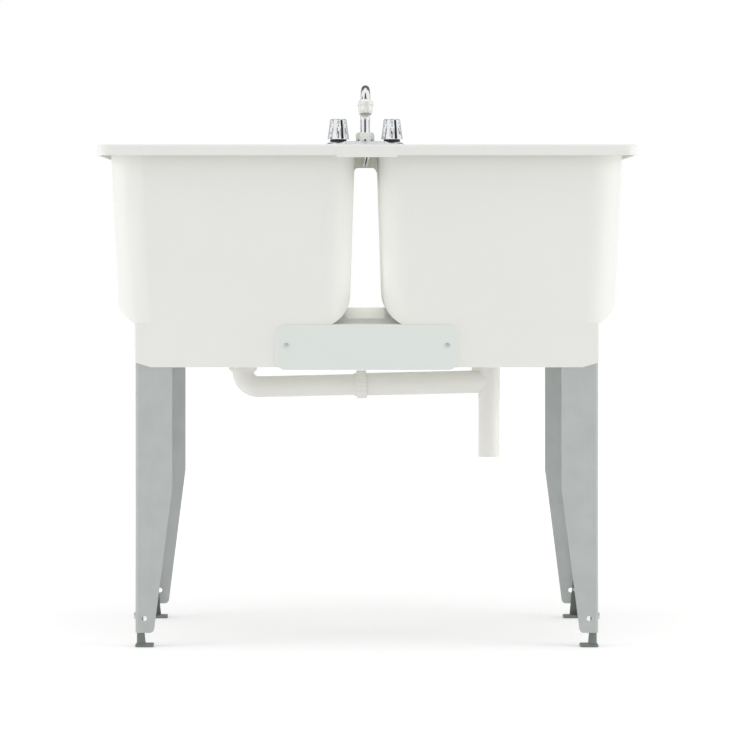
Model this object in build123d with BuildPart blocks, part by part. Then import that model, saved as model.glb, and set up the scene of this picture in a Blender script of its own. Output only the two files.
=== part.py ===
from build123d import *
import os
from math import cos, radians, sin, tan

os.makedirs("parts", exist_ok=True)

# A two-bowl laundry sink: one moulded tub on four angle-steel legs with levelling feet,
# a centreset faucet on the rear ledge, and the waste pipes that join both drains.
# The origin is on the floor under the middle of the rim, +Z is up, and the user stands at -Y.

# --- Tub, mm ---
overall_width = 935.0
overall_depth = 610.0
rim_height = 873.0
rim_skirt = 18.5
rear_skirt = 34.0
relief_width = 42.0
relief_height = 8.0
rim_corner = 22.0
rim_edge = 4.0
wall = 5.0
pad_width = 105.0
pad_height = 22.0
pad_proud = 1.0
rib_spacing = 5.2
rib_thickness = 2.0
rib_height = 18.0

# Each bowl's outer walls: inner side, outer side, front and rear, at the rim and at the bottom.
bowl_at_rim = (20.5, 447.5, -279.0, 225.5)
bowl_at_bottom = (30.5, 433.0, -264.0, 214.5)
bowl_bottom = 556.0
bowl_corner = 57.0
bowl_side_round = 57.0
bowl_floor_round = 50.0
bowl_mouth_round = 5.0

shelf_top = 561.5
shelf_thickness = 4.5
apron_height = 74.5
apron_half_width = 404.0
apron_front = -264.5
apron_rear = 215.0
apron_wall = 4.5
apron_corner = 4.0
apron_cut_width = 29.0
apron_cut_rise = 9.0
rear_lip = 20.5

plate_width = 315.0
plate_tall = 78.2
plate_height = 521.7
plate_corner = 15.0
plate_thickness = 3.0
plate_screw_spacing = 279.6
plate_screw_height = 525.4
plate_screw_radius = 1.7
plate_screw_head_radius = 4.0
plate_screw_head_height = 2.0
plate_screw_length = 11.0
driver_slot = 0.9

# --- Legs and levelling feet ---
leg_flange = 64.0
leg_foot_flange = 32.0
steel = 2.0
leg_bend_radius = 6.0
leg_bottom = 25.0
leg_taper_top = 277.0
leg_fit = 0.3
leg_set_in = 1.5
leg_toe_round = 8.0
pocket_rib_rise = 6.0
foot_hole_radius = 4.4
foot_hole_height = 50.0
foot_hole_inset = 16.0
window_width = 16.0
window_height = 9.0
window_drop = 22.0
bolt_height = 53.0
bolt_inset = 17.0
bolt_radius = 3.0
bolt_length = 13.0
bolt_head_radius = 6.2
bolt_head_height = 3.6
nut_half_width = 5.0
nut_height = 5.0
pad_side = 31.5
pad_depth = 30.0
pad_thickness = 5.0
pad_beyond_leg = 0.4
pad_corner = 4.0
foot_sheet = 2.5
foot_top = 80.0
foot_front_width = 18.0
foot_front_top_width = 10.5
foot_side_width = 28.0
foot_side_top_width = 25.0
foot_lowering = 18.0
foot_raising = 10.0

# --- Waste ---
drain_x = 222.5
drain_y = -24.75
pipe_radius = 19.05
pipe_bore = 17.45
flange_radius = 37.0
flange_thickness = 2.5
throat_radius = 23.0
throat_bore = 20.5
throat_bottom = 520.0
neck_drop = 5.0
cone_drop = 7.0
cross_drop = 20.0
cross_height = 5.0
cross_bar = 3.0
cross_ring_radius = 9.0
cross_ring_bore = 6.0
stopper_fit = 0.6
stopper_drop = 16.0
stopper_cap = 5.0
stopper_neck_radius = 3.2
stopper_knob_radius = 5.5
stopper_knob_top = 16.0
gasket_radius = 34.0
gasket_thickness = 3.0
locknut_radius = 33.0
locknut_height = 9.0
locknut_notch_depth = 3.0
locknut_notch_width = 8.0
collar_thickness = 2.5
collar_fit = 0.4
coupling_radius = 27.0
coupling_lip = 4.0
coupling_thread = 14.0
coupling_flutes = 12
thread_fit = 0.05
pipe_fit = 0.1
pipe_in_hub = 9.0
arm_height = 442.2
arm_rise = 1.33
arm_end = 25.0
elbow_radius = 28.0
left_hub_top = 488.0
right_hub_top = 497.0
hub_length = 18.0
hub_radius = 22.0
hub_bevel = 3.0
hub_mouth_radius = 21.15
socket_end = -10.0
socket_radius = 20.6
slip_nut_radius = 25.4
slip_nut_skirt = {"left": 15.0, "middle": 11.0, "right": 16.0}
outlet_bottom = 316.5
outlet_top = 420.0
tee_radius = 19.7
seat_radius = 24.5
washer_height = 3.5
slip_nut_face = 7.0
slip_nut_top = 12.0
slip_nut_flutes = 16
flute_radius = 2.4

# --- Faucet ---
faucet_y = 265.0
valve_spacing = 101.6
cover_length = 150.0
cover_depth = 54.0
cover_corner = 22.0
cover_wall = 2.0
cover_edge = 1.5
cover_shoulder = 18.6
cover_top = 23.6
cover_top_length = 133.0
cover_top_depth = 37.0
faucet_gasket_thickness = 2.0
barrel_radius = 13.0
barrel_bore = 8.5
shank_radius = 10.4
shank_bore = 6.0
shank_bottom = 822.0
shank_thread = 28.0
boss_radius = 12.8
boss_bore = 10.0
boss_top = 906.0
bridge_height = 10.0
bridge_width = 14.0
bridge_bore = 3.5
ring_radius = 15.7
ring_thickness = 3.2
stem_radius = 4.0
handle_bottom = 27.1
handle_height = 38.7
handle_base_radius = 21.1
handle_top_radius = 16.2
scallop_count = 8
spout_radius = 9.5
spout_bore = 7.6
spout_nut_radius = 17.5
spout_nut_top = 913.4
spout_nut_chamfer = 3.6
spout_nut_arch = 7.0
spout_nut_arch_drop = 3.2
spout_ring_radius = 13.9
spout_ring_thickness = 3.6
spout_collar_radius = 12.4
spout_collar_thickness = 2.5
turning_fit = 0.3
spout_rise = 939.6
spout_first_bend = 34.0
spout_reach = 62.0
spout_second_bend = 30.0
spout_pitch = 75.0
hose_sleeve = 8.4
hose_neck_radius = 12.6
hose_collar_radius = 14.7
hose_collar_rise = 4.0
hose_thread_radius = 13.45
hose_thread_end = 13.0
hose_mouth_radius = 11.6
hose_mouth_bore = 10.2
hose_length = 17.0

rim_bottom = rim_height - rim_skirt
deck_bottom = rim_height - wall
shelf_bottom = shelf_top - shelf_thickness
apron_bottom = shelf_top - apron_height
bowl_floor = bowl_bottom + wall
apron_middle = (apron_front + apron_rear) / 2
apron_depth = apron_rear - apron_front
rim_front = -overall_depth / 2 + pad_proud
rim_rear = overall_depth / 2
rim_middle = (rim_front + rim_rear) / 2
rim_depth = rim_rear - rim_front

valve_x = valve_spacing / 2
cover_bottom = rim_height + faucet_gasket_thickness

# The outer corner of each leg, from the front left round to the rear right.
leg_x = apron_half_width - leg_set_in
leg_front = apron_front + apron_wall + leg_fit
leg_rear = apron_rear - apron_wall - leg_fit
corners = {
    "front_left": (-1, -1),
    "front_right": (1, -1),
    "rear_left": (-1, 1),
    "rear_right": (1, 1),
}


# Cylinders and boxes stand on their place, or hang from it.
standing = (Align.CENTER, Align.CENTER, Align.MIN)
hanging = (Align.CENTER, Align.CENTER, Align.MAX)


def leg_corner(sx, sy):
    """The outer corner of a leg's section, from the signs of its X and Y."""
    return sx * leg_x, leg_front if sy < 0 else leg_rear


def profile_plane(frame):
    """The plane holding a turned piece's axis, where x is the radius and y the height on the axis."""
    return Plane(frame.origin, x_dir=frame.x_dir, z_dir=-frame.y_dir)


def turning_axis(frame):
    """The axis about which the profile drawn on profile_plane is revolved."""
    return Axis(frame.origin, frame.z_dir)


# The hollow of both bowls: drafted walls with rounded corners, and one large round all the way
# about the floor. It stands above the rim so that it cuts the mouth cleanly.
with BuildPart() as bowl_void:
    for side in (-1, 1):
        for z, walls in ((rim_height, bowl_at_rim), (bowl_floor, bowl_at_bottom)):
            inner, outer, front, rear = walls
            with BuildSketch(Plane.XY.offset(z)):
                with Locations((side * (inner + outer) / 2, (front + rear) / 2)):
                    RectangleRounded(outer - inner - 2 * wall, rear - front - 2 * wall, bowl_corner - wall)
        loft(ruled=True)
    fillet(bowl_void.faces().sort_by(Axis.Z)[:2].edges(), bowl_floor_round)
    for mouth in bowl_void.faces().sort_by(Axis.Z)[-2:]:
        extrude(mouth, amount=wall)

# The outside of both bowls. Seen from the front the sides turn under in a round at the bottom,
# while the front and rear walls run straight down to the apron.
with BuildPart() as bowl_outside:
    for side in (-1, 1):
        for z, walls in ((deck_bottom + 1, bowl_at_rim), (bowl_bottom, bowl_at_bottom)):
            inner, outer, front, rear = walls
            with BuildSketch(Plane.XY.offset(z)):
                with Locations((side * (inner + outer) / 2, (front + rear) / 2)):
                    RectangleRounded(outer - inner, rear - front, bowl_corner)
        loft(ruled=True)
        for index, into in ((0, side), (1, -side)):
            low = Vector(side * bowl_at_bottom[index], bowl_bottom)
            up = (Vector(side * bowl_at_rim[index], deck_bottom + 1) - low).normalized()
            along = Vector(into, 0)
            reach = bowl_side_round / tan(radians(along.get_angle(up)) / 2)
            on_side = low + up * reach
            on_floor = low + along * reach
            outwards = -along * 8
            below = Vector(0, -20)
            with BuildSketch(Plane.XZ):
                with BuildLine():
                    TangentArc((on_floor, on_side), tangent=-along)
                    Polyline(on_side, on_side + outwards, low + outwards + below, on_floor + below, on_floor)
                make_face()
            extrude(amount=overall_depth / 2, both=True, mode=Mode.SUBTRACT)

with BuildPart() as tub:
    # Rim and deck, hollow underneath, with a skirt all round.
    with BuildSketch(Plane.XY.offset(rim_bottom)):
        with Locations((0, rim_middle)):
            RectangleRounded(overall_width, rim_depth, rim_corner)
    extrude(amount=rim_skirt)
    add(bowl_void.part, mode=Mode.SUBTRACT)
    deck = tub.faces().sort_by(Axis.Z)[-1]
    fillet(deck.outer_wire().edges(), rim_edge)
    deck = tub.faces().sort_by(Axis.Z)[-1]
    fillet([edge for wire in deck.inner_wires() for edge in wire.edges()], bowl_mouth_round)
    with BuildSketch(Plane.XY.offset(rim_bottom)):
        with Locations((0, rim_middle)):
            RectangleRounded(overall_width - 2 * wall, rim_depth - 2 * wall, rim_corner - wall)
    extrude(amount=deck_bottom - rim_bottom, mode=Mode.SUBTRACT)

    # The rear skirt is deeper, ends where the rim's corners begin to turn, and is relieved
    # with rounded corners behind the gap between the bowls.
    with BuildSketch(Plane.XY.offset(rim_height - rear_skirt)):
        with Locations((0, rim_rear - wall / 2)):
            Rectangle(overall_width - 2 * rim_corner, wall)
    extrude(amount=rear_skirt - rim_skirt + wall)
    with BuildSketch(Plane.XZ.offset(-rim_rear)):
        with Locations((0, rim_height - rear_skirt)):
            RectangleRounded(relief_width, 2 * relief_height, relief_height - 0.1)
    extrude(amount=wall, mode=Mode.SUBTRACT)

    # A raised pad on the front of the rim, over the gap between the bowls.
    with BuildSketch(Plane.XZ.offset(-rim_front)):
        with Locations((0, rim_height - rim_edge / 2 - pad_height / 2)):
            Rectangle(pad_width, pad_height - rim_edge)
    extrude(amount=pad_proud)
    with BuildSketch(Plane.XY.offset(rim_height - pad_height)):
        with Locations((0, rim_front + wall / 2)):
            Rectangle(pad_width, wall)
    extrude(amount=pad_height - rim_edge)

    # The shelf under the bowls with its apron, open below. Its lower corners are cut off.
    with BuildSketch(Plane.XY.offset(apron_bottom)):
        with Locations((0, apron_middle)):
            RectangleRounded(2 * apron_half_width, apron_depth, apron_corner)
    extrude(amount=apron_height)
    with BuildSketch(Plane.XY.offset(apron_bottom)):
        with Locations((0, apron_middle)):
            Rectangle(2 * (apron_half_width - apron_wall), apron_depth - 2 * apron_wall)
    extrude(amount=shelf_bottom - apron_bottom, mode=Mode.SUBTRACT)
    for side in (-1, 1):
        corner_x = side * apron_half_width
        with BuildSketch(Plane.XZ):
            with BuildLine():
                Polyline(
                    (corner_x + side, apron_bottom + apron_cut_rise),
                    (corner_x - side * apron_cut_width, apron_bottom),
                    (corner_x + side, apron_bottom - 1),
                    close=True,
                )
            make_face()
        extrude(amount=overall_depth / 2, both=True, mode=Mode.SUBTRACT)

    add(bowl_outside.part)

    # Behind the gap between the bowls the apron stands a lip higher than the shelf.
    with BuildSketch(Plane.XY.offset(shelf_top - 1)):
        with Locations((0, apron_rear - apron_wall / 2)):
            Rectangle(2 * (bowl_at_bottom[0] + bowl_side_round), apron_wall)
    extrude(amount=rear_lip + 1)

    # Two stiffening ribs under the middle of the deck, from the front skirt to the rear one.
    with BuildSketch(Plane.XY.offset(deck_bottom - rib_height)):
        with Locations((0, rim_middle)):
            with GridLocations(rib_spacing, 0, 2, 1):
                Rectangle(rib_thickness, rim_depth - 2 * wall + 1)
    extrude(amount=rib_height)

    add(bowl_void.part, mode=Mode.SUBTRACT)

    # Leg pockets: the side apron is open for the leg's side flange, which lies flush in it.
    # An angle-shaped rib backs both flanges, and a catch on it fills a window in the front one.
    for sx, sy in corners.values():
        x, y = leg_corner(sx, sy)
        slot = steel + 2 * leg_fit
        with BuildSketch(Plane.XY.offset(apron_bottom)):
            with Locations((sx * apron_half_width, y - sy * (leg_flange + leg_fit) / 2)):
                Rectangle(2 * apron_wall + 0.2, leg_flange + leg_fit)
        extrude(amount=shelf_bottom - apron_bottom, mode=Mode.SUBTRACT)
        rib_x = x - sx * (slot - leg_fit)
        rib_y = y - sy * (slot - leg_fit)
        rib_length = leg_flange - slot
        with BuildSketch(Plane.XY.offset(apron_bottom + pocket_rib_rise)) as backing:
            with Locations((rib_x - sx * rib_length / 2, rib_y - sy * rib_length / 2)):
                Rectangle(rib_length, rib_length)
                with Locations((-sx * apron_wall, -sy * apron_wall)):
                    Rectangle(rib_length, rib_length, mode=Mode.SUBTRACT)
            fillet(backing.vertices().sort_by_distance((rib_x, rib_y))[0], leg_bend_radius)
        extrude(amount=shelf_bottom - apron_bottom - pocket_rib_rise + 1)
        with BuildSketch(Plane.XY.offset(shelf_bottom - window_drop - window_height / 2 + 0.5)):
            with Locations((x - sx * leg_flange / 2, rib_y + sy * slot / 4)):
                Rectangle(window_width - 1, slot / 2)
        extrude(amount=window_height - 1)

    # Drain seats: a boss under each floor, a recess for the flange and the throat's hole.
    with Locations((drain_x, drain_y, bowl_bottom - 2), (-drain_x, drain_y, bowl_bottom - 2)):
        Cylinder(flange_radius + 10, 6)
        with Locations((0, 0, 7.5)):
            Cylinder(flange_radius + 0.5, 6, mode=Mode.SUBTRACT)
        Cylinder(seat_radius + 0.3, 30, mode=Mode.SUBTRACT)

    # Screw holes of the name plate.
    with BuildSketch(Plane.XZ.offset(-apron_front)):
        with Locations((0, plate_screw_height)):
            with GridLocations(plate_screw_spacing, 0, 2, 1):
                Circle(plate_screw_radius + 0.05)
    extrude(amount=-apron_wall, mode=Mode.SUBTRACT)

    # Faucet holes in the rear ledge.
    with Locations((0, faucet_y, rim_height)):
        with GridLocations(valve_spacing, 0, 2, 1):
            Cylinder(16, 3 * wall, mode=Mode.SUBTRACT)

tub.part.label = "tub"
export_step(tub.part, "parts/tub.step")

# --- Name plate and its screws ---
with BuildPart() as name_plate:
    with BuildSketch(Plane.XZ.offset(-apron_front)):
        with Locations((0, plate_height)):
            RectangleRounded(plate_width, plate_tall, plate_corner)
        with Locations((0, plate_screw_height)):
            with GridLocations(plate_screw_spacing, 0, 2, 1):
                Circle(plate_screw_radius + 0.3, mode=Mode.SUBTRACT)
    extrude(amount=plate_thickness)
    fillet(name_plate.faces().sort_by(Axis.Y)[0].outer_wire().edges(), 1)

name_plate.part.label = "name_plate"
export_step(name_plate.part, "parts/name_plate.step")

with BuildPart() as plate_screws:
    for side in (-1, 1):
        head = (side * plate_screw_spacing / 2, apron_front - plate_thickness, plate_screw_height)
        with Locations(Location(head, (90, 0, 0))):
            Cylinder(plate_screw_head_radius, plate_screw_head_height, align=standing)
            Cylinder(plate_screw_radius, plate_screw_length, align=hanging)
    fillet(plate_screws.faces().sort_by(Axis.Y)[:2].edges(), 0.8 * plate_screw_head_height)
    for side in (-1, 1):
        crown = apron_front - plate_thickness - plate_screw_head_height
        with Locations((side * plate_screw_spacing / 2, crown, plate_screw_height)):
            Box(5 * driver_slot, 2 * driver_slot, driver_slot, mode=Mode.SUBTRACT)
            Box(driver_slot, 2 * driver_slot, 5 * driver_slot, mode=Mode.SUBTRACT)

plate_screws.part.label = "plate_screws"
export_step(plate_screws.part, "parts/plate_screws.step")

# --- Legs: angle steel, tapering towards the foot, with a round at each free bottom corner ---
for name, (sx, sy) in corners.items():
    x, y = leg_corner(sx, sy)
    with BuildPart() as leg:
        with BuildSketch(Plane.XY.offset(leg_bottom)):
            with Locations((x - sx * leg_flange / 2, y - sy * leg_flange / 2)):
                Rectangle(leg_flange, leg_flange)
                with Locations((-sx * steel, -sy * steel)):
                    Rectangle(leg_flange, leg_flange, mode=Mode.SUBTRACT)
        extrude(amount=bowl_bottom - leg_bottom)
        bend = (x, y, bowl_bottom / 2)
        fillet(leg.edges().filter_by(Axis.Z).sort_by_distance(bend)[1], leg_bend_radius - steel)
        fillet(leg.edges().filter_by(Axis.Z).sort_by_distance(bend)[0], leg_bend_radius)
        for plane, corner, sign in ((Plane.XZ, x, sx), (Plane.YZ, y, sy)):
            with BuildSketch(plane):
                with BuildLine():
                    Polyline(
                        (corner - sign * leg_foot_flange, leg_bottom),
                        (corner - sign * leg_flange, leg_taper_top),
                        (corner - sign * (leg_flange + 1), leg_taper_top),
                        (corner - sign * (leg_flange + 1), leg_bottom),
                        close=True,
                    )
                make_face()
            extrude(amount=overall_width, both=True, mode=Mode.SUBTRACT)
        toe = leg.edges().filter_by(Axis.Y).sort_by_distance((x - sx * leg_foot_flange, y, leg_bottom))[0]
        fillet(toe, leg_toe_round)
        toe = leg.edges().filter_by(Axis.X).sort_by_distance((x, y - sy * leg_foot_flange, leg_bottom))[0]
        fillet(toe, leg_toe_round)
        with BuildSketch(Plane.XZ.offset(-y)):
            with Locations((x - sx * foot_hole_inset, foot_hole_height)):
                Circle(foot_hole_radius)
            with Locations((x - sx * leg_flange / 2, shelf_bottom - window_drop)):
                Rectangle(window_width, window_height)
        extrude(amount=2 * steel, both=True, mode=Mode.SUBTRACT)
        with BuildSketch(Plane.YZ.offset(x)):
            with Locations((y - sy * bolt_inset, bolt_height)):
                Circle(bolt_radius + 0.1)
        extrude(amount=2 * steel, both=True, mode=Mode.SUBTRACT)
    leg.part.label = f"leg_{name}"
    export_step(leg.part, f"parts/leg_{name}.step")

# --- Levelling feet: two walls nested in the leg, on a flat pad; the side wall is slotted ---
for name, (sx, sy) in corners.items():
    x, y = leg_corner(sx, sy)
    inset = steel + leg_fit
    with BuildPart() as leveler:
        with BuildSketch():
            with Locations((x + sx * pad_beyond_leg, y + sy * pad_beyond_leg)):
                with Locations((-sx * pad_side / 2, -sy * pad_depth / 2)):
                    RectangleRounded(pad_side, pad_depth, pad_corner)
        extrude(amount=pad_thickness)
        fillet(leveler.faces().sort_by(Axis.Z)[-1].edges(), 1)
        with BuildSketch(Plane.XY.offset(1)):
            middle = inset + foot_side_width / 2
            with Locations((x - sx * middle, y - sy * middle)):
                Rectangle(foot_side_width, foot_side_width)
                with Locations((-sx * foot_sheet, -sy * foot_sheet)):
                    Rectangle(foot_side_width, foot_side_width, mode=Mode.SUBTRACT)
        extrude(amount=foot_top - 1)
        bend = (x, y, foot_top / 2)
        fillet(leveler.edges().filter_by(Axis.Z).sort_by_distance(bend)[0], 4.2)
        walls = (
            (Plane.XZ, x, sx, foot_front_width, foot_front_top_width),
            (Plane.YZ, y, sy, foot_side_width, foot_side_top_width),
        )
        for plane, corner, sign, base_width, top_width in walls:
            with BuildSketch(plane):
                with BuildLine():
                    Polyline(
                        (corner - sign * base_width, pad_thickness),
                        (corner - sign * top_width, foot_top),
                        (corner - sign * (leg_flange + 1), foot_top),
                        (corner - sign * (leg_flange + 1), pad_thickness),
                        close=True,
                    )
                make_face()
            extrude(amount=overall_width, both=True, mode=Mode.SUBTRACT)
        slot_middle = bolt_height + (foot_lowering - foot_raising) / 2
        slot_length = foot_lowering + foot_raising + 2 * (bolt_radius + leg_fit)
        with BuildSketch(Plane.YZ.offset(x - sx * inset)):
            with Locations((y - sy * bolt_inset, slot_middle)):
                SlotOverall(slot_length, 2 * (bolt_radius + leg_fit), rotation=90)
        extrude(amount=2 * foot_sheet, both=True, mode=Mode.SUBTRACT)
    leveler.part.label = f"leveler_{name}"
    export_step(leveler.part, f"parts/leveler_{name}.step")

with BuildPart() as leveler_bolts:
    for sx, sy in corners.values():
        x, y = leg_corner(sx, sy)
        with Locations(Location((x, y - sy * bolt_inset, bolt_height), (0, sx * 90, 0))):
            Cylinder(bolt_head_radius, bolt_head_height, align=standing)
            Cylinder(bolt_radius, bolt_length, align=hanging)
    crowns = leveler_bolts.edges().filter_by(GeomType.CIRCLE).group_by(Axis.X)
    fillet(crowns[0] + crowns[-1], 3)
    for sx, sy in corners.values():
        x, y = leg_corner(sx, sy)
        with Locations((x + sx * bolt_head_height, y - sy * bolt_inset, bolt_height)):
            Box(3, 1.4, 2 * bolt_head_radius, mode=Mode.SUBTRACT)

leveler_bolts.part.label = "leveler_bolts"
export_step(leveler_bolts.part, "parts/leveler_bolts.step")

with BuildPart() as leveler_nuts:
    seat = steel + 2 * leg_fit + foot_sheet
    for sx, sy in corners.values():
        x, y = leg_corner(sx, sy)
        nut_seat = (x - sx * seat, y - sy * bolt_inset, bolt_height)
        with BuildSketch(Plane(nut_seat, x_dir=(0, 1, 0), z_dir=(-sx, 0, 0))):
            RegularPolygon(nut_half_width, 6, major_radius=False)
            Circle(bolt_radius + 0.05, mode=Mode.SUBTRACT)
        extrude(amount=nut_height)

leveler_nuts.part.label = "leveler_nuts"
export_step(leveler_nuts.part, "parts/leveler_nuts.step")

# --- Drain fittings of each bowl ---
drains = {"left": Plane((-drain_x, drain_y, 0)), "right": Plane((drain_x, drain_y, 0))}
hub_tops = {"left": left_hub_top, "right": right_hub_top}
flange_bottom = bowl_floor - flange_thickness
boss_bottom = bowl_bottom - 5
coupling_bottom = throat_bottom - collar_thickness - coupling_lip

for name, drain in drains.items():
    with BuildPart() as strainer:
        with BuildSketch(profile_plane(drain)):
            with BuildLine():
                Polyline(
                    (throat_bore, throat_bottom),
                    (throat_radius, throat_bottom),
                    (throat_radius, bowl_floor - cone_drop - 1),
                    (seat_radius, bowl_floor - neck_drop),
                    (seat_radius, flange_bottom),
                    (flange_radius, flange_bottom),
                    (flange_radius, bowl_floor - 1),
                    (flange_radius - 2, bowl_floor),
                    (seat_radius, bowl_floor - stopper_fit),
                    (throat_bore, bowl_floor - cone_drop),
                    close=True,
                )
            make_face()
        revolve(axis=turning_axis(drain))
        with Locations((drain.origin.X, drain.origin.Y, bowl_floor - cross_drop)):
            Box(2 * throat_bore + 1, cross_bar, cross_height)
            Box(cross_bar, 2 * throat_bore + 1, cross_height)
            Cylinder(cross_ring_radius, cross_height)
            Cylinder(cross_ring_bore, cross_height + 1, mode=Mode.SUBTRACT)
    strainer.part.label = f"strainer_{name}"
    export_step(strainer.part, f"parts/strainer_{name}.step")

    # The stopper sits in the flange's cone and hangs a plug down the throat.
    with BuildPart() as stopper:
        with BuildSketch(profile_plane(drain)):
            with BuildLine():
                Polyline(
                    (0, bowl_floor - stopper_drop),
                    (throat_bore - 2, bowl_floor - stopper_drop),
                    (throat_bore - stopper_fit, bowl_floor - cone_drop),
                    (seat_radius - stopper_fit, bowl_floor - stopper_fit),
                    (seat_radius, bowl_floor + stopper_cap - 2),
                    (seat_radius - 2, bowl_floor + stopper_cap),
                    (stopper_neck_radius + 0.8, bowl_floor + stopper_cap),
                    (stopper_neck_radius, bowl_floor + stopper_knob_top / 2),
                    (stopper_knob_radius, bowl_floor + stopper_knob_top - 5),
                    (stopper_knob_radius, bowl_floor + stopper_knob_top - 2),
                    (stopper_knob_radius - 1.5, bowl_floor + stopper_knob_top),
                    (0, bowl_floor + stopper_knob_top),
                    close=True,
                )
            make_face()
        revolve(axis=turning_axis(drain))
    stopper.part.label = f"stopper_{name}"
    export_step(stopper.part, f"parts/stopper_{name}.step")

    # The tailpiece hangs by its collar from the throat and ends inside the slip joint's hub.
    with BuildPart() as tailpiece:
        tailpiece_end = hub_tops[name] - pipe_in_hub
        with BuildSketch(profile_plane(drain)):
            with BuildLine():
                Polyline(
                    (pipe_bore, tailpiece_end),
                    (pipe_radius, tailpiece_end),
                    (pipe_radius, throat_bottom - collar_thickness),
                    (throat_radius - collar_fit, throat_bottom - collar_thickness),
                    (throat_radius - collar_fit, throat_bottom),
                    (pipe_bore, throat_bottom),
                    close=True,
                )
            make_face()
        revolve(axis=turning_axis(drain))
    tailpiece.part.label = f"tailpiece_{name}"
    export_step(tailpiece.part, f"parts/tailpiece_{name}.step")

with BuildPart() as drain_gaskets:
    for drain in drains.values():
        with Locations((drain.origin.X, drain.origin.Y, boss_bottom - gasket_thickness / 2)):
            Cylinder(gasket_radius, gasket_thickness)
            Cylinder(throat_radius + 0.2, gasket_thickness, mode=Mode.SUBTRACT)

drain_gaskets.part.label = "drain_gaskets"
export_step(drain_gaskets.part, "parts/drain_gaskets.step")

# Locknuts with six square notches for the wrench.
with BuildPart() as drain_locknuts:
    for drain in drains.values():
        with Locations((drain.origin.X, drain.origin.Y, boss_bottom - gasket_thickness)):
            Cylinder(locknut_radius, locknut_height, align=hanging)
            Cylinder(throat_radius + thread_fit, locknut_height, align=hanging, mode=Mode.SUBTRACT)
            with PolarLocations(locknut_radius, 6):
                notch = (2 * locknut_notch_depth, locknut_notch_width, locknut_height)
                Box(*notch, align=hanging, mode=Mode.SUBTRACT)

drain_locknuts.part.label = "drain_locknuts"
export_step(drain_locknuts.part, "parts/drain_locknuts.step")

# Coupling nuts, which draw the tailpieces' collars up against the throats.
with BuildPart() as tailpiece_nuts:
    for drain in drains.values():
        with BuildSketch(profile_plane(drain)):
            with BuildLine():
                Polyline(
                    (pipe_radius + 2 * pipe_fit, coupling_bottom),
                    (coupling_radius - 1, coupling_bottom),
                    (coupling_radius, coupling_bottom + 1),
                    (coupling_radius, throat_bottom + coupling_thread - 1),
                    (coupling_radius - 1, throat_bottom + coupling_thread),
                    (throat_radius + thread_fit, throat_bottom + coupling_thread),
                    (throat_radius + thread_fit, throat_bottom - collar_thickness),
                    (pipe_radius + 2 * pipe_fit, throat_bottom - collar_thickness),
                    close=True,
                )
            make_face()
        revolve(axis=turning_axis(drain))
        with Locations((drain.origin.X, drain.origin.Y, throat_bottom + coupling_lip)):
            with PolarLocations(coupling_radius + 0.6 * flute_radius, coupling_flutes):
                Cylinder(flute_radius, 2 * coupling_thread, mode=Mode.SUBTRACT)

tailpiece_nuts.part.label = "tailpiece_nuts"
export_step(tailpiece_nuts.part, "parts/tailpiece_nuts.step")

# --- Waste pipes ---
# The left drain's elbow and arm are one piece; the arm rises slightly to the right and ends
# inside the long branch of the tee that stands under the right drain.
rise = radians(arm_rise)
arm_direction = Vector(cos(rise), 0, sin(rise))
arm_at_tee = Vector(drain_x, drain_y, arm_height + 2 * drain_x * tan(rise))
bend_start = arm_height + elbow_radius * (tan(rise) + 1 / cos(rise))
socket_length = (drain_x - socket_end) / cos(rise)
arm_in_tee = (drain_x - arm_end) / cos(rise)
socket_mouth = arm_at_tee - arm_direction * socket_length

with BuildPart() as waste_elbow:
    with BuildLine(Plane.XZ.offset(-drain_y)) as elbow_run:
        drop = Line((-drain_x, left_hub_top), (-drain_x, bend_start))
        turn = JernArc(start=drop @ 1, tangent=(0, -1), radius=elbow_radius, arc_size=90 + arm_rise)
        Line(turn @ 1, (arm_end, arm_height + (arm_end + drain_x) * tan(rise)))
    with BuildSketch(Plane.XY.offset(left_hub_top)):
        with Locations((-drain_x, drain_y)):
            Circle(pipe_radius)
    sweep(path=elbow_run.wires()[0])
    with Locations((-drain_x, drain_y, left_hub_top)):
        Cylinder(hub_radius, hub_length, align=hanging)
    with BuildSketch(Plane.XY.offset(left_hub_top)):
        with Locations((-drain_x, drain_y)):
            Circle(pipe_bore)
    sweep(path=elbow_run.wires()[0], mode=Mode.SUBTRACT)
    with Locations((-drain_x, drain_y, left_hub_top)):
        Cylinder(pipe_radius + pipe_fit, pipe_in_hub + 0.5, align=hanging, mode=Mode.SUBTRACT)
        with Locations((0, 0, -hub_bevel / 2)):
            Cone(pipe_radius + pipe_fit, hub_mouth_radius, hub_bevel, mode=Mode.SUBTRACT)

waste_elbow.part.label = "waste_elbow"
export_step(waste_elbow.part, "parts/waste_elbow.step")

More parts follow.
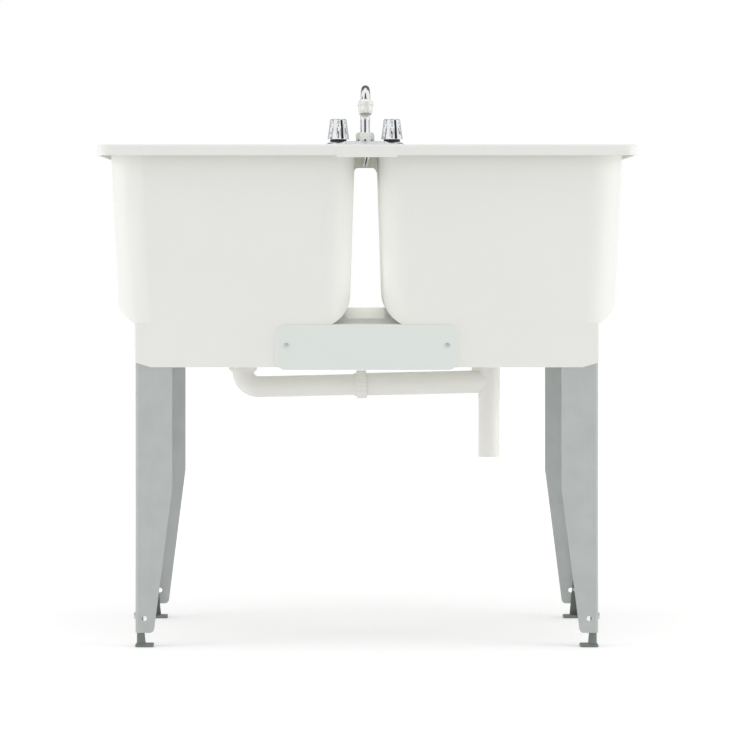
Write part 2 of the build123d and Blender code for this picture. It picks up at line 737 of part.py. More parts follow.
branch = Plane(arm_at_tee, x_dir=(0, 1, 0), z_dir=-arm_direction)
with BuildPart() as waste_tee:
    with BuildSketch(profile_plane(drains["right"])):
        with BuildLine():
            Polyline(
                (0, outlet_bottom),
                (pipe_radius, outlet_bottom),
                (pipe_radius, outlet_top),
                (tee_radius, outlet_top + 4),
                (tee_radius, right_hub_top - hub_length + 1),
                (hub_radius, right_hub_top - hub_length + 1),
                (hub_radius, right_hub_top),
                (0, right_hub_top),
                close=True,
            )
        make_face()
    revolve(axis=turning_axis(drains["right"]))
    with BuildSketch(profile_plane(branch)):
        with BuildLine():
            Polyline(
                (0, 0),
                (pipe_radius - 0.5, 0),
                (socket_radius, pipe_radius),
                (socket_radius, socket_length - 10),
                (hub_radius, socket_length - 9),
                (hub_radius, socket_length),
                (0, socket_length),
                close=True,
            )
        make_face()
    revolve(axis=turning_axis(branch))
    with Locations((drain_x - pipe_radius - 5, drain_y, arm_at_tee.Z + socket_radius + 2.5)):
        Box(14, 12, 9)
    with BuildSketch(Plane.XY.offset(outlet_bottom)):
        with Locations((drain_x, drain_y)):
            Circle(pipe_bore)
    extrude(amount=right_hub_top - outlet_bottom, mode=Mode.SUBTRACT)
    with Locations((drain_x, drain_y, right_hub_top)):
        Cylinder(pipe_radius + pipe_fit, pipe_in_hub + 0.5, align=hanging, mode=Mode.SUBTRACT)
        with Locations((0, 0, -hub_bevel / 2)):
            Cone(pipe_radius + pipe_fit, hub_mouth_radius, hub_bevel, mode=Mode.SUBTRACT)
    with BuildSketch(profile_plane(branch)):
        with BuildLine():
            Polyline(
                (0, 5),
                (pipe_bore - 1, 5),
                (pipe_bore, 30),
                (pipe_bore, arm_in_tee - 1),
                (pipe_radius + pipe_fit, arm_in_tee - 1),
                (pipe_radius + pipe_fit, socket_length - hub_bevel),
                (hub_mouth_radius, socket_length),
                (0, socket_length),
                close=True,
            )
        make_face()
    revolve(axis=turning_axis(branch), mode=Mode.SUBTRACT)

waste_tee.part.label = "waste_tee"
export_step(waste_tee.part, "parts/waste_tee.step")

# --- Slip nuts, each with a bevelled washer between its lip and the hub ---
slip_joints = {
    "left": Plane((-drain_x, drain_y, left_hub_top)),
    "middle": Plane(socket_mouth, x_dir=(0, 1, 0), z_dir=-arm_direction),
    "right": Plane((drain_x, drain_y, right_hub_top)),
}
for name, joint in slip_joints.items():
    skirt = slip_nut_skirt[name]
    with BuildPart() as slip_nut:
        with BuildSketch(profile_plane(joint)):
            with BuildLine():
                Polyline(
                    (hub_radius + pipe_fit, -skirt),
                    (slip_nut_radius - 0.8, -skirt),
                    (slip_nut_radius, 0.8 - skirt),
                    (slip_nut_radius, slip_nut_face - 0.8),
                    (slip_nut_radius - 0.8, slip_nut_face),
                    (hub_radius - 1, slip_nut_face),
                    (hub_radius - 1, slip_nut_top),
                    (pipe_radius + 3 * pipe_fit, slip_nut_top),
                    (pipe_radius + 3 * pipe_fit, washer_height + pipe_fit),
                    (hub_radius + pipe_fit, washer_height + pipe_fit),
                    close=True,
                )
            make_face()
        revolve(axis=turning_axis(joint))
        with Locations(joint):
            with PolarLocations(slip_nut_radius + 0.6 * flute_radius, slip_nut_flutes):
                Cylinder(flute_radius, 4 * slip_nut_radius, mode=Mode.SUBTRACT)
    slip_nut.part.label = f"slip_nut_{name}"
    export_step(slip_nut.part, f"parts/slip_nut_{name}.step")

with BuildPart() as slip_washers:
    for joint in slip_joints.values():
        with BuildSketch(profile_plane(joint)):
            with BuildLine():
                Polyline(
                    (pipe_radius + 0.05, 0.4 - hub_bevel),
                    (hub_mouth_radius - 0.25, 0.1),
                    (hub_radius - 0.2, 0.1),
                    (hub_radius - 0.2, washer_height),
                    (pipe_radius + 0.05, washer_height),
                    close=True,
                )
            make_face()
        revolve(axis=turning_axis(joint))

slip_washers.part.label = "slip_washers"
export_step(slip_washers.part, "parts/slip_washers.step")

# --- Faucet: gasket, hollow cover and the waterway inside it ---
valves = {"hot": -valve_x, "cold": valve_x}

with BuildPart() as faucet_gasket:
    with BuildSketch(Plane.XY.offset(rim_height)):
        with Locations((0, faucet_y)):
            RectangleRounded(cover_length + 1, cover_depth + 1, cover_corner + 0.5)
            with GridLocations(valve_spacing, 0, 2, 1):
                Circle(shank_radius + 0.2, mode=Mode.SUBTRACT)
    extrude(amount=faucet_gasket_thickness)

faucet_gasket.part.label = "faucet_gasket"
export_step(faucet_gasket.part, "parts/faucet_gasket.step")

# The cover's sides lean in slightly, then slope over a shoulder to its flat top.
cover_sections = (
    (cover_bottom, cover_length, cover_depth, cover_corner),
    (rim_height + cover_shoulder, cover_length - 1.6, cover_depth - 1.6, cover_corner - 0.8),
    (rim_height + cover_top, cover_top_length, cover_top_depth, cover_corner - 8.5),
)
with BuildPart() as faucet_cover:
    for z, length, depth, corner in cover_sections:
        with BuildSketch(Plane.XY.offset(z)):
            with Locations((0, faucet_y)):
                RectangleRounded(length, depth, corner)
    loft(ruled=True)
    fillet(faucet_cover.faces().sort_by(Axis.Z)[-1].edges(), cover_edge)
    for z, length, depth, corner in cover_sections:
        with BuildSketch(Plane.XY.offset(z - (0 if z == cover_bottom else cover_wall))):
            with Locations((0, faucet_y)):
                RectangleRounded(length - 2 * cover_wall, depth - 2 * cover_wall, corner - cover_wall)
    loft(ruled=True, mode=Mode.SUBTRACT)
    with Locations((0, faucet_y, rim_height + cover_top)):
        Cylinder(boss_radius + 0.2, 12, mode=Mode.SUBTRACT)
        with GridLocations(valve_spacing, 0, 2, 1):
            Cylinder(barrel_radius + 0.2, 12, mode=Mode.SUBTRACT)

faucet_cover.part.label = "faucet_cover"
export_step(faucet_cover.part, "parts/faucet_cover.step")

# Two valve barrels with threaded shanks, joined by a bridge to the boss that carries the spout.
barrel_top = rim_height + cover_top
bridge_middle = cover_bottom + 4 + bridge_height / 2
with BuildPart() as faucet_waterway:
    with Locations((0, faucet_y, bridge_middle)):
        Box(valve_spacing, bridge_width, bridge_height)
    with Locations((0, faucet_y, cover_bottom + 1)):
        Cylinder(boss_radius, boss_top - cover_bottom - 1, align=standing)
    with Locations((0, faucet_y, cover_bottom)):
        with GridLocations(valve_spacing, 0, 2, 1):
            Cylinder(barrel_radius, barrel_top - cover_bottom, align=standing)
            Cylinder(shank_radius, cover_bottom - shank_bottom, align=hanging)
    with BuildSketch(Plane.XY.offset(shank_bottom + shank_thread)):
        with Locations((0, faucet_y)):
            with GridLocations(valve_spacing, 0, 2, 1):
                Circle(shank_radius + 1)
                Circle(shank_radius - 0.7, mode=Mode.SUBTRACT)
    extrude(amount=1.5, mode=Mode.SUBTRACT)
    with Locations((0, faucet_y, bridge_middle)):
        Cylinder(bridge_bore, valve_spacing, rotation=(0, 90, 0), mode=Mode.SUBTRACT)
    with Locations((0, faucet_y, cover_bottom + 4)):
        Cylinder(boss_bore, 40, align=standing, mode=Mode.SUBTRACT)
    with Locations((0, faucet_y, cover_bottom + 5)):
        with GridLocations(valve_spacing, 0, 2, 1):
            Cylinder(barrel_bore, 40, align=standing, mode=Mode.SUBTRACT)
            Cylinder(shank_bore, 80, align=hanging, mode=Mode.SUBTRACT)

faucet_waterway.part.label = "faucet_waterway"
export_step(faucet_waterway.part, "parts/faucet_waterway.step")

with BuildPart() as mounting_washers:
    with Locations((0, faucet_y, deck_bottom - 1)):
        with GridLocations(valve_spacing, 0, 2, 1):
            Cylinder(22, 2)
            Cylinder(shank_radius + 0.3, 2, mode=Mode.SUBTRACT)

mounting_washers.part.label = "mounting_washers"
export_step(mounting_washers.part, "parts/mounting_washers.step")

# Mounting nuts: a round flange and four wings to turn them by hand.
with BuildPart() as mounting_nuts:
    with Locations((0, faucet_y, deck_bottom - 2)):
        with GridLocations(valve_spacing, 0, 2, 1):
            Cylinder(19, 3, align=hanging)
            Cylinder(13.5, 14, align=hanging)
            Box(38, 4, 12, align=hanging)
            Box(4, 38, 12, align=hanging)
            Cylinder(shank_radius + 0.05, 40, mode=Mode.SUBTRACT)

mounting_nuts.part.label = "mounting_nuts"
export_step(mounting_nuts.part, "parts/mounting_nuts.step")

with BuildPart() as valve_bonnets:
    with Locations((0, faucet_y, barrel_top)):
        with GridLocations(valve_spacing, 0, 2, 1):
            Cylinder(ring_radius, ring_thickness, align=standing)
    fillet(valve_bonnets.faces().sort_by(Axis.Z)[-2:].edges(), 1)
    with Locations((0, faucet_y, barrel_top)):
        with GridLocations(valve_spacing, 0, 2, 1):
            Cylinder(stem_radius + 0.4, 20, mode=Mode.SUBTRACT)

valve_bonnets.part.label = "valve_bonnets"
export_step(valve_bonnets.part, "parts/valve_bonnets.step")

# --- Handles: fluted knobs, each on a stem, with a screw under an index button ---
knob_bottom = rim_height + handle_bottom
knob_top = knob_bottom + handle_height
stem_top = knob_top - 14.8

# One of the lens-shaped scallops of a knob: a spindle that leans with the knob's side.
with BuildPart() as scallop:
    with BuildSketch(Plane.XZ):
        with BuildLine():
            ThreePointArc((0, -23), (5.7, 0), (0, 23))
            Line((0, 23), (0, -23))
        make_face()
    revolve(axis=Axis.Z)

for name, x in valves.items():
    knob = Plane((x, faucet_y, 0))
    with BuildPart() as handle:
        with BuildSketch(profile_plane(knob)):
            with BuildLine():
                Polyline(
                    (4.05, knob_bottom + 1),
                    (7.5, knob_bottom + 1),
                    (7.5, knob_bottom + 20),
                    (13, knob_bottom + 20),
                    (18, knob_bottom),
                    (handle_base_radius - 0.5, knob_bottom),
                    (handle_base_radius, knob_bottom + 0.8),
                    (handle_top_radius, knob_top - 2.5),
                    (handle_top_radius - 2.7, knob_top),
                    (7.7, knob_top),
                    (7.7, knob_top - 3),
                    (4.1, knob_top - 3),
                    (4.1, knob_top - 6.5),
                    (2.1, knob_top - 6.5),
                    (2.1, stem_top + 0.2),
                    (4.05, stem_top + 0.2),
                    close=True,
                )
            make_face()
        revolve(axis=turning_axis(knob))
        with Locations((x, faucet_y, knob_bottom + handle_height / 2)):
            with PolarLocations(handle_base_radius + 0.4, scallop_count):
                with Locations(Location((0, 0, 0), (0, -7.6, 0))):
                    add(scallop.part, mode=Mode.SUBTRACT)
    handle.part.label = f"handle_{name}"
    export_step(handle.part, f"parts/handle_{name}.step")

    with BuildPart() as stem:
        with BuildSketch(profile_plane(knob)):
            with BuildLine():
                Polyline(
                    (0, cover_bottom + 7),
                    (barrel_bore - 0.3, cover_bottom + 7),
                    (barrel_bore - 0.3, barrel_top - 4),
                    (stem_radius, barrel_top - 2),
                    (stem_radius, stem_top),
                    (1.7, stem_top),
                    (1.7, stem_top - 12),
                    (0, stem_top - 12),
                    close=True,
                )
            make_face()
        revolve(axis=turning_axis(knob))
    stem.part.label = f"stem_{name}"
    export_step(stem.part, f"parts/stem_{name}.step")

    with BuildPart() as handle_screw:
        with Locations((x, faucet_y, knob_top - 6.5)):
            Cylinder(1.65, 19, align=hanging)
            Cylinder(3.7, 3, align=standing)
        with Locations((x, faucet_y, knob_top - 3.5)):
            Box(5, 0.9, 2, mode=Mode.SUBTRACT)
            Box(0.9, 5, 2, mode=Mode.SUBTRACT)
    handle_screw.part.label = f"handle_screw_{name}"
    export_step(handle_screw.part, f"parts/handle_screw_{name}.step")

    with BuildPart() as index_button:
        with Locations((x, faucet_y, knob_top - 3)):
            Cylinder(7.6, 3.2, align=standing)
        fillet(index_button.faces().sort_by(Axis.Z)[-1].edges(), 0.8)
    index_button.part.label = f"index_button_{name}"
    export_step(index_button.part, f"parts/index_button_{name}.step")

# --- Spout: a bent tube that turns in the boss, under its nut, with a hose thread at its end ---
spout_foot = cover_bottom + 6
collar_bottom = boss_top + turning_fit
collar_top = collar_bottom + spout_collar_thickness
groove_heights = (cover_bottom + 12, cover_bottom + 18)
boss_axis = Plane((0, faucet_y, 0))

with BuildPart() as spout:
    with BuildLine(Plane.YZ) as spout_run:
        riser = Line((faucet_y, spout_foot), (faucet_y, spout_rise))
        first = JernArc(start=riser @ 1, tangent=(0, 1), radius=spout_first_bend, arc_size=spout_pitch)
        reach = PolarLine(first @ 1, spout_reach, angle=90 + spout_pitch)
        second = JernArc(start=reach @ 1, tangent=reach % 1, radius=spout_second_bend, arc_size=90)
        PolarLine(second @ 1, 8, angle=180 + spout_pitch)
    spout_path = spout_run.wires()[0]
    with BuildSketch(Plane.XY.offset(spout_foot)):
        with Locations((0, faucet_y)):
            Circle(spout_radius)
    sweep(path=spout_path)
    with Locations((0, faucet_y, collar_bottom)):
        Cylinder(spout_collar_radius, spout_collar_thickness, align=standing)
    with BuildSketch(Plane.XY.offset(spout_foot)):
        with Locations((0, faucet_y)):
            Circle(spout_bore)
    sweep(path=spout_path, mode=Mode.SUBTRACT)
    for z in groove_heights:
        with BuildSketch(profile_plane(boss_axis)):
            with Locations((spout_radius - 0.1, z)):
                Rectangle(2.2, 2)
        revolve(axis=turning_axis(boss_axis), mode=Mode.SUBTRACT)

spout.part.label = "spout"
export_step(spout.part, "parts/spout.step")

with BuildPart() as spout_o_rings:
    for z in groove_heights:
        with Locations((0, faucet_y, z)):
            Torus(spout_radius - 0.38, 0.8)

spout_o_rings.part.label = "spout_o_rings"
export_step(spout_o_rings.part, "parts/spout_o_rings.step")

# A chamfered hexagon nut, with an arch cut into the foot of each flat. The ring inside it
# shows through the arches.
nut_height = spout_nut_top - barrel_top
with BuildPart() as spout_nut:
    with BuildSketch(Plane.XY.offset(barrel_top)):
        with Locations((0, faucet_y)):
            RegularPolygon(spout_nut_radius, 6)
    extrude(amount=nut_height)
    with BuildSketch(profile_plane(boss_axis)):
        with BuildLine():
            Polyline(
                (0, barrel_top),
                (spout_nut_radius, barrel_top),
                (spout_nut_radius, spout_nut_top - spout_nut_chamfer),
                (spout_nut_radius - spout_nut_chamfer, spout_nut_top),
                (0, spout_nut_top),
                close=True,
            )
        make_face()
    revolve(axis=turning_axis(boss_axis), mode=Mode.INTERSECT)
    with Locations((0, faucet_y, barrel_top)):
        Cylinder(spout_radius + turning_fit, nut_height, align=standing, mode=Mode.SUBTRACT)
        thread_length = collar_top + turning_fit - barrel_top
        Cylinder(boss_radius + thread_fit, thread_length, align=standing, mode=Mode.SUBTRACT)
        seat = (spout_ring_radius + pipe_fit, spout_ring_thickness + pipe_fit)
        Cylinder(*seat, align=standing, mode=Mode.SUBTRACT)
    with Locations((0, faucet_y, barrel_top - spout_nut_arch_drop)):
        with PolarLocations(spout_nut_radius, 6, start_angle=30):
            Cylinder(spout_nut_arch, 2 * spout_nut_chamfer, rotation=(0, 90, 0), mode=Mode.SUBTRACT)

spout_nut.part.label = "spout_nut"
export_step(spout_nut.part, "parts/spout_nut.step")

with BuildPart() as spout_ring:
    with Locations((0, faucet_y, barrel_top)):
        Cylinder(spout_ring_radius, spout_ring_thickness, align=standing)
        Cylinder(boss_radius + pipe_fit, spout_ring_thickness, align=standing, mode=Mode.SUBTRACT)

spout_ring.part.label = "spout_ring"
export_step(spout_ring.part, "parts/spout_ring.step")

# The hose end slides over the tube's end and seals on a flat washer.
tube_end = Plane(spout_path @ 1, x_dir=(1, 0, 0), z_dir=spout_path % 1)
with BuildPart() as hose_end:
    with BuildSketch(profile_plane(tube_end)):
        with BuildLine():
            Polyline(
                (spout_radius + thread_fit, -hose_sleeve),
                (hose_neck_radius, -hose_sleeve),
                (hose_collar_radius, -hose_sleeve + hose_collar_rise),
                (hose_collar_radius, 1),
                (hose_thread_radius, 2),
                (hose_thread_radius, hose_thread_end),
                (hose_mouth_radius, hose_length),
                (hose_mouth_bore, hose_length),
                (hose_mouth_bore, 3),
                (spout_bore + 0.4, 3),
                (spout_bore + 0.4, 1.3),
                (spout_radius + thread_fit, 1.3),
                close=True,
            )
        make_face()
    revolve(axis=turning_axis(tube_end))

hose_end.part.label = "hose_end"
export_step(hose_end.part, "parts/hose_end.step")

with BuildPart() as hose_washer:
    with BuildSketch(tube_end):
        Circle(spout_radius)
        Circle(spout_bore, mode=Mode.SUBTRACT)
    extrude(amount=1.2)

hose_washer.part.label = "hose_washer"
export_step(hose_washer.part, "parts/hose_washer.step")
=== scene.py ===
import math

import bpy
import numpy as np
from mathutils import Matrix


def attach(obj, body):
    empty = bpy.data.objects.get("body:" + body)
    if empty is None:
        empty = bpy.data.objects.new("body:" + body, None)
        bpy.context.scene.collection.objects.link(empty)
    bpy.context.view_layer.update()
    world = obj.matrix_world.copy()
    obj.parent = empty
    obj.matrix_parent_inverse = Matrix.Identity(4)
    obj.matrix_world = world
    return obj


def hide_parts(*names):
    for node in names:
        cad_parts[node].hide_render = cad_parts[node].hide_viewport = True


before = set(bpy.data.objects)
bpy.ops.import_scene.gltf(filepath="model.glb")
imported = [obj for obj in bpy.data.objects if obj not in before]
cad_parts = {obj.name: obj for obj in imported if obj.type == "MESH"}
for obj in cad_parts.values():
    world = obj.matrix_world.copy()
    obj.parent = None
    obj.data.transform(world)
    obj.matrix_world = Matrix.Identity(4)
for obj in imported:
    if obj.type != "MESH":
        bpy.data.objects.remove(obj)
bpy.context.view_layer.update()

# A two-bowl laundry sink on four angle-steel legs, in the order in which it is put together.
# Metres throughout: the origin is on the floor under the middle of the rim, +Z is up, the user stands at -Y.

# --- Tub ---
# One injection-moulded piece of white co-polymer: two drafted bowls, the rim with its rear ledge,
# and the shelf and apron under the bowls. The mould gives it a faint pebble and a soft satin.


def new_group(name, inputs, outputs):
    """A shader node group with named float inputs (name: default) and outputs (name: socket type)."""
    group = bpy.data.node_groups.new(name, "ShaderNodeTree")
    for socket, default in inputs.items():
        made = group.interface.new_socket(socket, in_out="INPUT", socket_type="NodeSocketFloat")
        made.default_value = default
    for socket, kind in outputs.items():
        group.interface.new_socket(socket, in_out="OUTPUT", socket_type=kind)
    return group, group.nodes.new("NodeGroupInput"), group.nodes.new("NodeGroupOutput")


def noise(tree, place, scale, detail):
    """A noise texture on the given place vector, with its scale from a socket and its detail as a number."""
    node = tree.nodes.new("ShaderNodeTexNoise")
    node.inputs["Detail"].default_value = detail
    tree.links.new(place, node.inputs["Vector"])
    tree.links.new(scale, node.inputs["Scale"])
    return node.outputs["Fac"]


def bump(tree, height, distance):
    """The normal of a bump whose full height is worth the distance. Both are sockets, the second in metres."""
    node = tree.nodes.new("ShaderNodeBump")
    tree.links.new(height, node.inputs["Height"])
    tree.links.new(distance, node.inputs["Distance"])
    return node.outputs["Normal"]


moulding, group_in, group_out = new_group(
    "moulded_surface",
    {"Pebble scale": 900.0, "Pebble depth": 0.00004, "Cloud scale": 6.0},
    {"Cloud": "NodeSocketFloat", "Pebble": "NodeSocketFloat", "Normal": "NodeSocketVector"},
)
place = moulding.nodes.new("ShaderNodeTexCoord").outputs["Object"]
cloud = noise(moulding, place, group_in.outputs["Cloud scale"], detail=3.0)
pebble = noise(moulding, place, group_in.outputs["Pebble scale"], detail=1.0)
moulding.links.new(cloud, group_out.inputs["Cloud"])
moulding.links.new(pebble, group_out.inputs["Pebble"])
moulding.links.new(bump(moulding, pebble, group_in.outputs["Pebble depth"]), group_out.inputs["Normal"])


def srgb(red, green, blue):
    """A colour written as 0-255 screen values, as the linear values that shaders take."""
    scaled = np.array([red, green, blue]) / 255
    linear = np.where(scaled <= 0.04045, scaled / 12.92, ((scaled + 0.055) / 1.055) ** 2.4)
    return (*linear.tolist(), 1.0)


def new_material(name, **plain):
    """A material whose Principled sockets take the plain numbers given; returns it with its tree and shader."""
    material = bpy.data.materials.new(name)
    material.use_nodes = True
    shader = material.node_tree.nodes["Principled BSDF"]
    for socket, value in plain.items():
        shader.inputs[socket.replace("_", " ")].default_value = value
    return material, material.node_tree, shader


# Nearly all of a noise texture lies between these two values.
noise_low, noise_high = 0.3, 0.7


def spread(tree, factor, low, high):
    """A value that runs from low to high as the factor runs over the middle of a noise texture."""
    node = tree.nodes.new("ShaderNodeMapRange")
    tree.links.new(factor, node.inputs["Value"])
    for socket, value in (("From Min", noise_low), ("From Max", noise_high), ("To Min", low), ("To Max", high)):
        node.inputs[socket].default_value = value
    return node.outputs["Result"]


def blend_colours(tree, factor, first, second):
    """A colour between the first and the second, by the factor over the middle of a noise texture. A Mix
    node has sockets of the same name for numbers and colours, so those for colours go by their places."""
    colour_a, colour_b, colour_out = 6, 7, 2
    node = tree.nodes.new("ShaderNodeMix")
    node.data_type = "RGBA"
    tree.links.new(spread(tree, factor, 0.0, 1.0), node.inputs["Factor"])
    node.inputs[colour_a].default_value = first
    node.inputs[colour_b].default_value = second
    return node.outputs[colour_out]


def place_group(tree, group, **values):
    """A group's node in a material's tree, with its own values (underscores stand for spaces)."""
    node = tree.nodes.new("ShaderNodeGroup")
    node.node_tree = group
    for socket, value in values.items():
        node.inputs[socket.replace("_", " ")].default_value = value
    return node.outputs


def moulded_material(name, light, dark, gloss, **surface):
    """Moulded plastic or rubber: two near colours in slow clouds, a roughness that follows its fine pebble
    between the two values of the gloss."""
    material, tree, shader = new_material(name)
    moulded = place_group(tree, moulding, **surface)
    tree.links.new(blend_colours(tree, moulded["Cloud"], light, dark), shader.inputs["Base Color"])
    tree.links.new(spread(tree, moulded["Pebble"], *gloss), shader.inputs["Roughness"])
    tree.links.new(moulded["Normal"], shader.inputs["Normal"])
    return material


def dress(material, *nodes):
    """Gives a material to every slot of the CAD nodes named."""
    for name in nodes:
        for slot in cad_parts[name].material_slots:
            slot.material = material


tub_white = moulded_material(
    "tub_white", srgb(237, 238, 233), srgb(235, 236, 231), (0.40, 0.48),
    Pebble_scale=700.0, Pebble_depth=0.00003, Cloud_scale=4.0,
)
dress(tub_white, "tub")

# --- Name plate ---
# A bare plate of slightly green-white moulded plastic on the apron's front face, with rounded
# corners, held by two zinc-plated cross-slot screws.
plate_white = moulded_material(
    "plate_white", srgb(227, 233, 229), srgb(225, 231, 227), (0.30, 0.36),
    Pebble_scale=900.0, Pebble_depth=0.00002, Cloud_scale=9.0,
)
dress(plate_white, "name_plate")

rolled, group_in, group_out = new_group(
    "rolled_metal",
    {"Cloud scale": 40.0, "Scratch scale": 300.0, "Scratch depth": 0.000004},
    {"Cloud": "NodeSocketFloat", "Scratch": "NodeSocketFloat", "Normal": "NodeSocketVector"},
)
place = rolled.nodes.new("ShaderNodeTexCoord").outputs["Object"]
cloud = noise(rolled, place, group_in.outputs["Cloud scale"], detail=4.0)
drawn_upright = (1.0, 1.0, 0.06)
stretched = rolled.nodes.new("ShaderNodeMapping")
stretched.inputs["Scale"].default_value = drawn_upright
rolled.links.new(place, stretched.inputs["Vector"])
scratch = noise(rolled, stretched.outputs["Vector"], group_in.outputs["Scratch scale"], detail=2.0)
rolled.links.new(cloud, group_out.inputs["Cloud"])
rolled.links.new(scratch, group_out.inputs["Scratch"])
rolled.links.new(bump(rolled, scratch, group_in.outputs["Scratch depth"]), group_out.inputs["Normal"])


def metal_material(name, light, dark, gloss, metallic=1.0, **surface):
    """Plated or bare metal: two near colours in clouds, a roughness that follows fine upright scratches
    between the two values of the gloss."""
    material, tree, shader = new_material(name, Metallic=metallic)
    metal = place_group(tree, rolled, **surface)
    tree.links.new(blend_colours(tree, metal["Cloud"], light, dark), shader.inputs["Base Color"])
    tree.links.new(spread(tree, metal["Scratch"], *gloss), shader.inputs["Roughness"])
    tree.links.new(metal["Normal"], shader.inputs["Normal"])
    return material


zinc = metal_material(
    "zinc_plate", srgb(214, 215, 214), srgb(198, 200, 200), (0.26, 0.36),
    Cloud_scale=220.0, Scratch_scale=900.0, Scratch_depth=0.000004,
)
dress(zinc, "plate_screws")

# --- Legs ---
# Angle pressed from 2 mm galvanised sheet, tapering to the foot, in a pocket at each corner of the apron.
legs = [f"leg_{end}_{side}" for end in ("front", "rear") for side in ("left", "right")]
galvanised = metal_material(
    "galvanised_sheet", srgb(190, 194, 193), srgb(184, 188, 187), (0.44, 0.52), metallic=0.55,
    Cloud_scale=30.0, Scratch_scale=260.0, Scratch_depth=0.000004,
)
dress(galvanised, *legs)

# --- Levelling feet ---
# Dark grey nylon, two walls nested in the leg's corner on a flat pad, slotted for the bolt
# that clamps them; bolts and nuts are zinc plated.
levelers = [name.replace("leg_", "leveler_") for name in legs]
grey_nylon = moulded_material(
    "grey_nylon", srgb(122, 128, 123), srgb(112, 118, 113), (0.42, 0.5),
    Pebble_scale=1500.0, Pebble_depth=0.00003, Cloud_scale=60.0,
)
dress(grey_nylon, *levelers)
dress(zinc, "leveler_bolts", "leveler_nuts")

# --- Drains ---
# White moulded strainer bodies with their locknuts and coupling nuts, black rubber gaskets
# and stoppers.
drain_ends = ("left", "right")
# Partly painted light: the white is real, but it is set above the tub's to make up for the shade that falls on these
# parts under the shelf.
pipe_white_with_painted_light = moulded_material(
    "pipe_white_with_painted_light", srgb(250, 249, 243), srgb(248, 247, 241), (0.28, 0.36),
    Pebble_scale=1100.0, Pebble_depth=0.00002, Cloud_scale=12.0,
)
dress(pipe_white_with_painted_light, "drain_locknuts", "tailpiece_nuts")
dress(pipe_white_with_painted_light, *[f"{piece}_{end}" for piece in ("strainer", "tailpiece") for end in drain_ends])
black_rubber = moulded_material(
    "black_rubber", srgb(40, 40, 41), srgb(32, 32, 33), (0.55, 0.7),
    Pebble_scale=1200.0, Pebble_depth=0.00003, Cloud_scale=50.0,
)
dress(black_rubber, "drain_gaskets", *[f"stopper_{end}" for end in drain_ends])

# --- Waste pipes ---
# White 38 mm tubular waste: the left elbow with its long arm, the right tee with its outlet,
# and the slip nuts that close their joints on bevelled rubber washers.
# The pipes' white is partly painted light, lifted against the shade under the shelf.
dress(pipe_white_with_painted_light, "waste_elbow", "waste_tee", *[f"slip_nut_{end}" for end in ("left", "middle", "right")])
dress(black_rubber, "slip_washers")

# --- Faucet ---
# A chrome-plated cover over a brass waterway with two threaded shanks, black plastic rings round the valves, and a
# bent chrome spout held by a pale satin hexagon nut, with a satin hose end.
# The black spout ring behind the notches at the nut's foot is painted shade, standing in for the shadow inside them.
chrome = metal_material(
    "chrome_plate", srgb(238, 240, 242), srgb(233, 235, 238), (0.03, 0.06),
    Cloud_scale=30.0, Scratch_scale=500.0, Scratch_depth=0.0000001,
)
cover_chrome = metal_material(
    "cover_chrome", srgb(240, 242, 243), srgb(235, 237, 239), (0.15, 0.2),
    Cloud_scale=30.0, Scratch_scale=500.0, Scratch_depth=0.0000001,
)
brass = metal_material(
    "brass", srgb(214, 178, 108), srgb(200, 162, 94), (0.22, 0.34),
    Cloud_scale=120.0, Scratch_scale=800.0, Scratch_depth=0.000004,
)
black_plastic = moulded_material(
    "black_plastic", srgb(34, 34, 35), srgb(28, 28, 29), (0.35, 0.45),
    Pebble_scale=1400.0, Pebble_depth=0.00002, Cloud_scale=50.0,
)
index_red = moulded_material(
    "index_red", srgb(186, 34, 30), srgb(176, 28, 26), (0.2, 0.28),
    Pebble_scale=1400.0, Pebble_depth=0.00001, Cloud_scale=80.0,
)
index_blue = moulded_material(
    "index_blue", srgb(36, 72, 158), srgb(30, 64, 146), (0.2, 0.28),
    Pebble_scale=1400.0, Pebble_depth=0.00001, Cloud_scale=80.0,
)
satin_chrome = metal_material(
    "satin_chrome", srgb(246, 247, 242), srgb(242, 243, 238), (0.24, 0.3), metallic=0.2,
    Cloud_scale=60.0, Scratch_scale=700.0, Scratch_depth=0.0000002,
)
valves = ("hot", "cold")
dress(chrome, "spout")
dress(cover_chrome, "faucet_cover")
dress(satin_chrome, "spout_nut", "hose_end")
dress(brass, "faucet_waterway", *[f"stem_{valve}" for valve in valves])
# The spout ring's black is painted shade: a ring set behind the notches at the spout nut's foot to stand in for the
# shadow inside them.
dress(black_plastic, "valve_bonnets", "mounting_nuts", "spout_ring")
dress(black_rubber, "faucet_gasket", "spout_o_rings")
grey_rubber = moulded_material(
    "grey_rubber", srgb(160, 161, 156), srgb(152, 153, 148), (0.5, 0.6),
    Pebble_scale=1400.0, Pebble_depth=0.00002, Cloud_scale=50.0,
)
dress(grey_rubber, "hose_washer")
dress(zinc, "mounting_washers", *[f"handle_screw_{valve}" for valve in valves])
dress(index_red, "index_button_hot")
dress(index_blue, "index_button_cold")

# --- Handles ---
# Two chrome-plated plastic knobs on the valve stems, each with eight lens-shaped scallops pressed into
# its leaning side, and a recess on top for the index button.
faucet_line = 0.265
valve_places = {"hot": -0.0508, "cold": 0.0508}
knob_bottom, knob_top = 0.9001, 0.9388
bore_radius = 0.0041
sleeve_radius, sleeve_foot = 0.0075, knob_bottom + 0.001
hollow_top, hollow_top_radius, hollow_mouth_radius = knob_bottom + 0.020, 0.0130, 0.0180
foot_radius, skirt_radius, skirt_edge = 0.0206, 0.0211, knob_bottom + 0.0008
shoulder_radius, shoulder, crown_radius = 0.0162, knob_top - 0.0025, 0.0135
recess_mouth_radius, recess_radius = 0.0079, 0.0077
recess_edge, recess_floor = knob_top - 0.0002, knob_top - 0.003

